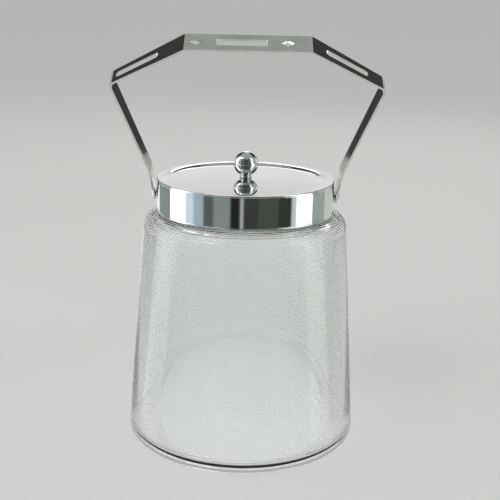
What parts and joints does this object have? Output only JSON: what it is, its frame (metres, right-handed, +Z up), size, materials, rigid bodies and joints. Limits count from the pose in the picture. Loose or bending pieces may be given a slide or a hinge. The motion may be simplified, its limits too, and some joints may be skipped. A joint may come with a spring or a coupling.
{
  "type": "biscuit jar",
  "caption": "Tapering reeded glass jar with a chromed collar, a swinging pierced bail handle and a lift-off domed lid with a ball knob.",
  "frame": {"origin": "on the jar's axis, in the plane that the jar stands on", "axes": "+Z up the jar's axis, +X along the axis of the handle's pivots, and the handle leans towards -Y"},
  "size_m": [0.1476, 0.1416, 0.2447],
  "materials": {
    "clear_glass": "pressed clear glass, finely reeded outside",
    "chrome_plate": "polished plate with light wear",
    "plaster": "matt off-white plaster",
    "steel": "plain steel"
  },
  "bodies": {
    "jar": {"glass_jar": "clear_glass", "neck_packing": "plaster", "collar_band": "chrome_plate", "pivot_rivet_left": "chrome_plate", "pivot_rivet_right": "chrome_plate", "pivot_spacer_left": "chrome_plate", "pivot_spacer_right": "chrome_plate"},
    "bail": {"bail_handle": "chrome_plate"},
    "lid": {"lid_shell": "chrome_plate", "knob_foot": "chrome_plate", "knob_ball": "chrome_plate", "knob_washer": "steel", "knob_screw": "steel"}
  },
  "joints": [
    {"name": "bail_swing", "type": "hinge", "parent": "jar", "child": "bail", "pos_m": [0, 0, 0.1492], "axis": [1, 0, 0], "range_deg": [-140, 80]},
    {"name": "lid_lift", "type": "slide", "parent": "jar", "child": "lid", "axis": [0, 0, 1], "range_m": [0, 0.055]}
  ]
}
